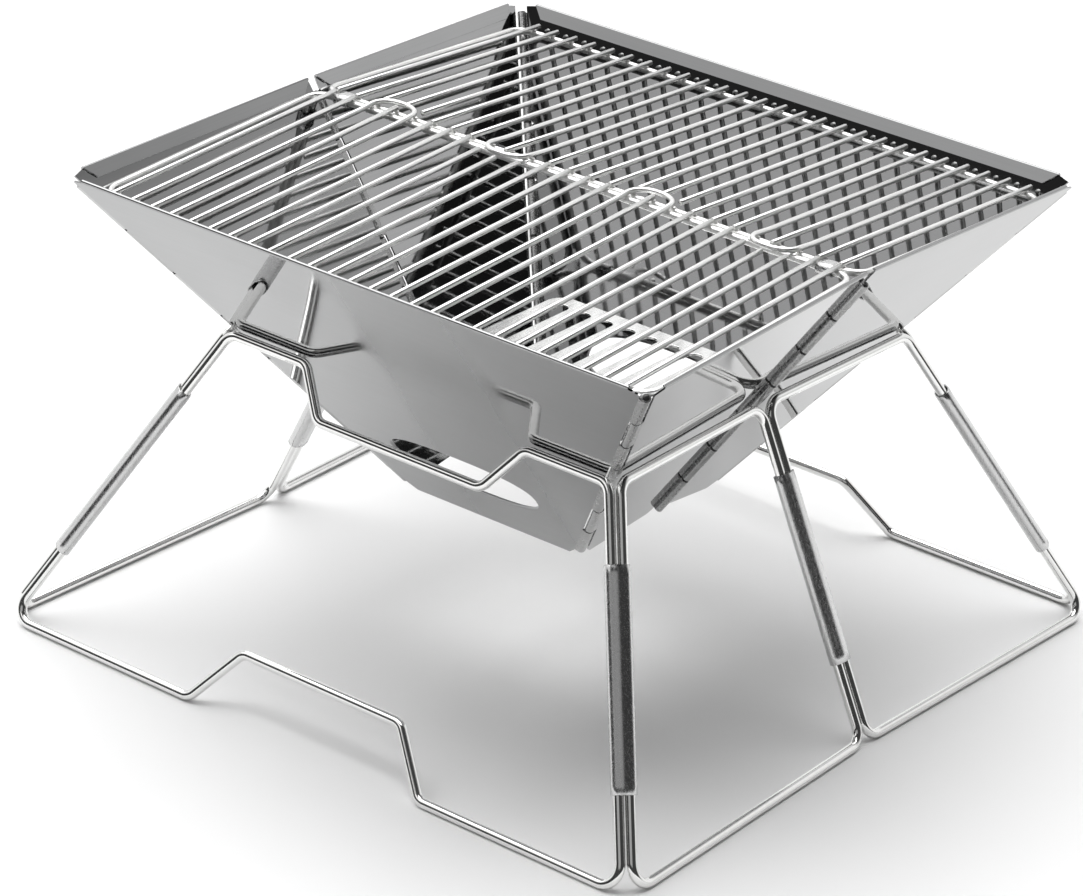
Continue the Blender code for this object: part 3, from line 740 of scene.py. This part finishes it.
def sheet_shading(rim, normal, up):
    """Flat shading for a sheet, with the lean that folding the hem leaves by the rim."""
    def shade(place, facing):
        if abs(facing.dot(normal)) < 0.999:
            return None
        past = (place - rim).dot(up) + RIM_CURVE_DEPTH
        inner = facing.dot(normal) > 0 and place.dot(normal) < SHEET * 0.52
        lean = 2.0 * RIM_CURVE_RISE * max(past, 0.0) / RIM_CURVE_DEPTH ** 2 if inner else 0.0
        return (normal - up * lean).normalized() * math.copysign(1.0, facing.dot(normal))
    return shade


def make_panel(piece):
    """A sheet with rolled hinge eyes down its sides, a hem, and a vent at the front and rear."""
    normal = inward_normal(piece)
    start, end = PIECES[piece]
    rim_way = (rim_point(end) - rim_point(start)).normalized()
    up = normal.cross(rim_way)
    up = up if up.z > 0 else -up
    bm = bmesh.new()
    first_points, first_tabs, first_out = side_edge(piece, start, up)
    second_points, second_tabs, second_out = side_edge(piece, end, up)
    first = [bm.verts.new(point) for point in first_points]
    second = [bm.verts.new(point) for point in second_points]
    vent = [bm.verts.new(point) for point in vent_outline(up)] if piece in VENTED else []
    loops = [first[::-1] + second] + ([vent] if vent else [])
    edges = [bm.edges.new((loop[index - 1], loop[index]))
             for loop in loops for index in range(len(loop))]
    bmesh.ops.triangle_fill(bm, edges=edges, use_beauty=True, use_dissolve=False, normal=normal)
    cut_lines(bm, rim_point(start), rim_way, up, bool(vent))
    for verts, tabs, out, station in ((first, first_tabs, first_out, start),
                                      (second, second_tabs, second_out, end)):
        side = normal if station_signs(station)[1] else -normal
        tab = out * EDGE_CLEARANCE
        eye = curl(out, side, KNUCKLE_OFFSET, KNUCKLE_ROLL, 26)
        for top, bottom in tabs:
            strip(bm, verts[top], verts[bottom],
                  [(offset, offset) for offset in [tab] + [tab + turn for turn in eye]], 1)
    fold_hem(bm, first[0], second[0], rim_way, up, normal)
    if vent:
        turn_lip(bm, vent, normal)
    axes = Matrix((rim_way, up, rim_way.cross(up)))
    material = panel_material(piece, axes.to_euler())
    finish_mesh("sheet_" + piece, bm, (material, MATERIALS["knuckle"]), "panel_" + piece,
                ["panel_" + piece], shading=sheet_shading(rim_point(start), normal, up),
                modifiers=(("SOLIDIFY", {"thickness": SHEET, "offset": 0.0}),
                           ("BEVEL", {"width": SHEET_EDGE_ROUND, "segments": 2,
                                      "limit_method": "ANGLE",
                                      "angle_limit": math.radians(55.0)}),
                           ("WEIGHTED_NORMAL", {"mode": "FACE_AREA", "weight": 80})))


def make_pin(station):
    """A hinge pin with both ends peened over, painted near black as shade, with black collars
    between the knuckles as painted shade in the gaps.
    """
    point, down = hinge_line(station)
    spans = hinge_spans(station)
    across = down.orthogonal().normalized()
    side = down.cross(across)
    top, bottom = spans[0][0], spans[-1][1]
    head = [(0.00008, PIN_HEAD_RADIUS - 0.0001), (0.0002, PIN_HEAD_RADIUS),
            (0.00045, PIN_HEAD_RADIUS - 0.0002), (0.00055, PIN_HEAD_RADIUS - 0.0010)]
    profile = [(top - out, radius) for out, radius in reversed(head)] + [(top, PIN_RADIUS)]
    # black collars in the gaps between hinge eyes: painted shade
    for upper, lower in zip(spans, spans[1:]):
        profile += [(upper[1] + 0.0001, PIN_RADIUS), (upper[1] + 0.0002, SHADE_COLLAR_RADIUS),
                    (lower[0] - 0.0002, SHADE_COLLAR_RADIUS), (lower[0] - 0.0001, PIN_RADIUS)]
    profile += [(bottom, PIN_RADIUS)] + [(bottom + out, radius) for out, radius in head]
    rings = []
    for depth, radius in profile:
        rings.append([point + down * depth + across * (radius * math.cos(angle))
                      + side * (radius * math.sin(angle))
                      for angle in (2 * math.pi * step / 16 for step in range(16))])
    bm = bmesh.new()
    tube_of_rings(bm, rings, closed_ends=True)
    finish_mesh("hinge_pin_" + station, bm, MATERIALS["pin"], PIN_BODIES[station],
                ["pin_" + station], 50.0)


# ---------------------------------------------------------------- grates

def make_charcoal_grate():
    """A slotted plate, its edges slightly rounded."""
    bm = bmesh.new()
    middle = CHARCOAL_HEIGHT + CHARCOAL_SHEET / 2

    def outline(half_x, half_y, radius, steps, centre_x=0.0):
        corners = [Vector((centre_x + x * half_x, y * half_y, middle))
                   for x, y in ((-1, -1), (1, -1), (1, 1), (-1, 1))]
        return [bm.verts.new(point) for point in rounded_loop(corners, [radius] * 4, steps)]

    loops = [outline(CHARCOAL_HALF_WIDTH, CHARCOAL_HALF_DEPTH, CHARCOAL_CORNER, 10)]
    for index in range(SLOT_COUNT):
        x = (index - (SLOT_COUNT - 1) / 2) * SLOT_PITCH
        loops.append(outline(SLOT_HALF_WIDTH, SLOT_HALF_LENGTH, SLOT_HALF_WIDTH * 0.98, 8, x))
    edges = [bm.edges.new((loop[index - 1], loop[index]))
             for loop in loops for index in range(len(loop))]
    bmesh.ops.triangle_fill(bm, edges=edges, use_beauty=True, use_dissolve=False,
                            normal=(0.0, 0.0, 1.0))
    finish_mesh("slotted_plate", bm, MATERIALS["plate"], "charcoal_grate",
                ["charcoal_grate"],
                modifiers=(("SOLIDIFY", {"thickness": CHARCOAL_SHEET, "offset": 0.0}),
                           ("BEVEL", {"width": PLATE_EDGE_ROUND, "segments": 3,
                                      "limit_method": "ANGLE",
                                      "angle_limit": math.radians(55.0)}),
                           ("WEIGHTED_NORMAL", {"mode": "FACE_AREA", "weight": 50})))


def bar_x(index):
    return (index - (BAR_COUNT - 1) / 2) * BAR_PITCH


def loop_outline(first, steps):
    """The bend that joins two bars past the ridge, as x and reach beyond it."""
    middle = bar_x(first + 1)
    points = []
    for step in range(steps + 1):
        angle = math.pi * step / steps
        x, y = -math.cos(angle), math.sin(angle)
        points.append((middle + math.copysign(abs(x) ** (2 / LOOP_SHAPE), x) * BAR_PITCH,
                       abs(y) ** (2 / LOOP_SHAPE) * LOOP_DEPTH - LOOP_BASE))
    return points


def bar_start(side, index):
    """How far before the ridge a bar ends, cut back where the other leaf has a loop."""
    if index - 1 in LOOPS[side]:
        return -FREE_BAR_REACH
    for first in LOOPS[-side]:
        if first <= index <= first + 2:
            outline = loop_outline(first, 9)
            start = LOOP_DEPTH + LOOP_CLEARANCE
            while min(math.dist((bar_x(index), start - 0.0005), point)
                      for point in outline) > LOOP_CLEARANCE:
                start -= 0.0005
            return start
    return BAR_MEETING_GAP / 2


def bead(bm, centre, across, along, up, sizes):
    """A small flattened weld where a bar sits on a wire."""
    matrix = Matrix((across * sizes[0], along * sizes[1], up * sizes[2])).transposed().to_4x4()
    bmesh.ops.create_uvsphere(bm, u_segments=10, v_segments=6, radius=1.0,
                              matrix=Matrix.Translation(centre) @ matrix)


def make_leaf(name, side, body, node):
    """One leaf of the cooking grate: an edge wire with bars welded across it."""
    draw = random.Random(7 + side)
    inner = Vector((0.0, side * RIDGE_Y, RIDGE_Z))
    out = Vector((0.0, side * GRATE_EDGE_Y, GRATE_EDGE_Z)) - inner
    depth = out.length
    out.normalize()
    across = Vector((1.0, 0.0, 0.0))
    normal = across.cross(out) * side

    def at(x, y, lift=0.0):
        return inner + across * x + out * y + normal * lift

    corners = [at(x * GRATE_HALF_WIDTH, y) for x, y in
               ((-1, 0.0), (1, 0.0), (1, depth), (-1, depth))]
    bm = bmesh.new()
    sweep(bm, rounded_loop(corners, [GRATE_WIRE_BEND] * 4, 12, 0.001), normal,
          SHOWN_EDGE_WIRE, 16, True)
    lift = GRATE_WIRE_RADIUS + BAR_RADIUS - BAR_WELD
    far = depth + BAR_OVERHANG
    looped = {index for first in LOOPS[side] for index in (first, first + 2)}
    for index in range(BAR_COUNT):
        x = bar_x(index)
        for y in (0.0, depth):
            size = draw.uniform(0.92, 1.08)
            bead(bm, at(x, y, GRATE_WIRE_RADIUS - 0.0001), across, out, normal,
                 (0.0019 * size, 0.0014, 0.0007 * size))
        if index in looped:
            continue
        near = bar_start(side, index)
        rise = LOOP_RISE if near < 0 else 0.0
        sag = [at(x + draw.uniform(-BAR_WANDER, BAR_WANDER), far * share, lift)
               for share in (0.33, 0.67)]
        path = [at(x, near - RIDGE_Y, lift + rise), *sag, at(x, far, lift)]
        sweep(bm, path, normal, BAR_RADIUS, 12, False, BAR_END_ROUND)
    for first in LOOPS[side]:
        path = [at(bar_x(first), far, lift), at(bar_x(first), LOOP_DEPTH, lift)]
        path += [at(x, -past - RIDGE_Y, lift + LOOP_RISE) for x, past in loop_outline(first, 28)]
        path += [at(bar_x(first + 2), LOOP_DEPTH, lift), at(bar_x(first + 2), far, lift)]
        sweep(bm, path, normal, BAR_RADIUS, 12, False, BAR_END_ROUND)
    finish_mesh(name, bm, MATERIALS["bar"], body, [node], 50.0)


def make_clip(name, x, node):
    """A band round the two inner wires, where the leaves hinge."""
    across, thin = Vector((0.0, 1.0, 0.0)), Vector((0.0, 0.0, 1.0))
    half, lip = CLIP_LENGTH / 2, CLIP_LIP
    outer = CLIP_BORE + CLIP_WALL
    profile = [(-half + lip, outer), (half - lip, outer), (half, outer - lip),
               (half, CLIP_BORE + lip), (half - lip, CLIP_BORE), (-half + lip, CLIP_BORE),
               (-half, CLIP_BORE + lip), (-half, outer - lip), (-half + lip, outer)]
    centre = Vector((x, 0.0, RIDGE_Z))
    rings = [[centre + Vector((place, 0.0, 0.0)) + offset
              for offset in stadium_offsets(radius, RIDGE_Y, across, thin, 12)]
             for place, radius in profile]
    bm = bmesh.new()
    tube_of_rings(bm, rings)
    bmesh.ops.remove_doubles(bm, verts=bm.verts, dist=0.000002)
    finish_mesh(name, bm, MATERIALS["sleeve"], "grill_clips", [node], 50.0)


# ---------------------------------------------------------------- stage

def camera_matrix(azimuth, elevation, roll, place):
    """A camera at a place, looking back along a bearing."""
    back = Vector((math.cos(elevation) * math.sin(azimuth),
                   -math.cos(elevation) * math.cos(azimuth), math.sin(elevation)))
    flat_right = Vector((math.cos(azimuth), math.sin(azimuth), 0.0))
    flat_up = back.cross(flat_right)
    right = flat_right * math.cos(roll) + flat_up * math.sin(roll)
    up = flat_up * math.cos(roll) - flat_right * math.sin(roll)
    turn = Matrix((right, up, back)).transposed().to_4x4()
    return Matrix.Translation(place) @ turn


def make_camera():
    data = bpy.data.cameras.new("camera")
    data.sensor_fit = "HORIZONTAL"
    data.sensor_width = SENSOR_WIDTH
    data.lens = FOCAL_PIXELS * SENSOR_WIDTH / IMAGE_WIDTH
    data.clip_start, data.clip_end = 0.05, 60.0
    camera = bpy.data.objects.new("camera", data)
    camera.matrix_world = camera_matrix(*map(math.radians, CAMERA_ANGLES), CAMERA_PLACE)
    bpy.context.scene.collection.objects.link(camera)
    bpy.context.scene.camera = camera


def make_floor():
    nodes = Nodes("pale_floor")
    cloud = nodes.noise(nodes.place, 1.2, 2.0, 0.5)
    nodes.tint(nodes.ranged(cloud, 0.0, 1.0), (0.905, 0.905, 0.905), (0.915, 0.915, 0.915))
    nodes.shader.inputs["Roughness"].default_value = 0.9
    nodes.shader.inputs["Specular IOR Level"].default_value = 0.1
    bm = bmesh.new()
    bmesh.ops.create_circle(bm, cap_ends=True, segments=96, radius=FLOOR_RADIUS)
    mesh = bpy.data.meshes.new("floor")
    bm.to_mesh(mesh)
    bm.free()
    mesh.materials.append(nodes.material)
    floor = bpy.data.objects.new("floor", mesh)
    bpy.context.scene.collection.objects.link(floor)


class Sky:
    """The studio around the object, as brightness by direction."""

    def __init__(self):
        self.world = bpy.data.worlds.new("studio")
        self.world.use_nodes = True
        self.tree = self.world.node_tree
        self.tree.nodes.clear()
        output = self.tree.nodes.new("ShaderNodeOutputWorld")
        self.background = self.tree.nodes.new("ShaderNodeBackground")
        self.way = self.tree.nodes.new("ShaderNodeTexCoord").outputs["Generated"]
        self.tree.links.new(self.background.outputs["Background"], output.inputs["Surface"])

    def math(self, kind, *values):
        node = self.tree.nodes.new("ShaderNodeMath")
        node.operation = kind
        for slot, value in enumerate(values):
            if isinstance(value, (int, float)):
                node.inputs[slot].default_value = value
            else:
                self.tree.links.new(value, node.inputs[slot])
        return node.outputs["Value"]

    def along(self, axis):
        """How far a direction points along an axis, from -1 to 1."""
        node = self.tree.nodes.new("ShaderNodeVectorMath")
        node.operation = "DOT_PRODUCT"
        self.tree.links.new(self.way, node.inputs[0])
        node.inputs[1].default_value = axis
        return node.outputs["Value"]

    def step(self, value, start, end, low=0.0, high=1.0):
        """Smooth change from low to high as value goes from start to end."""
        node = self.tree.nodes.new("ShaderNodeMapRange")
        node.interpolation_type = "SMOOTHSTEP"
        for key, number in zip(("From Min", "From Max", "To Min", "To Max"),
                               (start, end, low, high)):
            node.inputs[key].default_value = number
        self.tree.links.new(value, node.inputs["Value"])
        return node.outputs["Result"]

    def card(self, azimuth, elevation, half_width, half_height, soft, strength):
        """A rectangular light at a bearing, given by the tangents of its half-angles."""
        bearing, rise = math.radians(azimuth), math.radians(elevation)
        out = Vector((math.cos(rise) * math.sin(bearing), -math.cos(rise) * math.cos(bearing),
                      math.sin(rise)))
        side = Vector((math.cos(bearing), math.sin(bearing), 0.0))
        depth = self.math("MAXIMUM", self.along(out), 0.001)
        mask = None
        for axis, half in ((side, half_width), (out.cross(side), half_height)):
            share = self.math("ABSOLUTE", self.math("DIVIDE", self.along(axis), depth))
            edge = self.step(share, half, half + soft, 1.0, 0.0)
            mask = edge if mask is None else self.math("MULTIPLY", mask, edge)
        return self.math("MULTIPLY", mask, strength)

    def finish(self, value):
        self.tree.links.new(value, self.background.inputs["Color"])
        bpy.context.scene.world = self.world


def make_world():
    """White overhead and behind, a softbox at the front left, and dim elsewhere."""
    sky = Sky()
    high = sky.along((0.0, 0.0, 1.0))
    toward = sky.along(CAMERA_WAY)
    backdrop = sky.math("MULTIPLY", sky.step(toward, 0.10, -0.30, 0.0, BACKDROP_LIGHT),
                        sky.step(high, 0.60, 0.74, 1.0, 0.20))
    overhead = sky.step(sky.along(OVERHEAD_WAY.normalized()), 0.83, 0.87, 0.0, OVERHEAD_LIGHT)
    value = sky.math("ADD", backdrop, overhead)
    for card in SOFTBOXES:
        value = sky.math("ADD", value, sky.card(*card))
    sky.finish(sky.math("ADD", value, DIM_LIGHT))


# ---------------------------------------------------------------- put together

bpy.context.scene.view_settings.view_transform = "Standard"
make_camera()
make_world()
make_floor()
for piece_name in PIECES:
    make_frame(piece_name)
    make_panel(piece_name)
for station_name in SLEEVE_BODIES:
    make_sleeve(station_name)
    make_pin(station_name)
make_charcoal_grate()
make_leaf("grate_leaf_front", -1, "grill_front", "grate_front")
make_leaf("grate_leaf_rear", 1, "grill_rear", "grate_rear")
make_clip("band_right", CLIP_X, "grate_clip_right")
make_clip("band_left", -CLIP_X, "grate_clip_left")
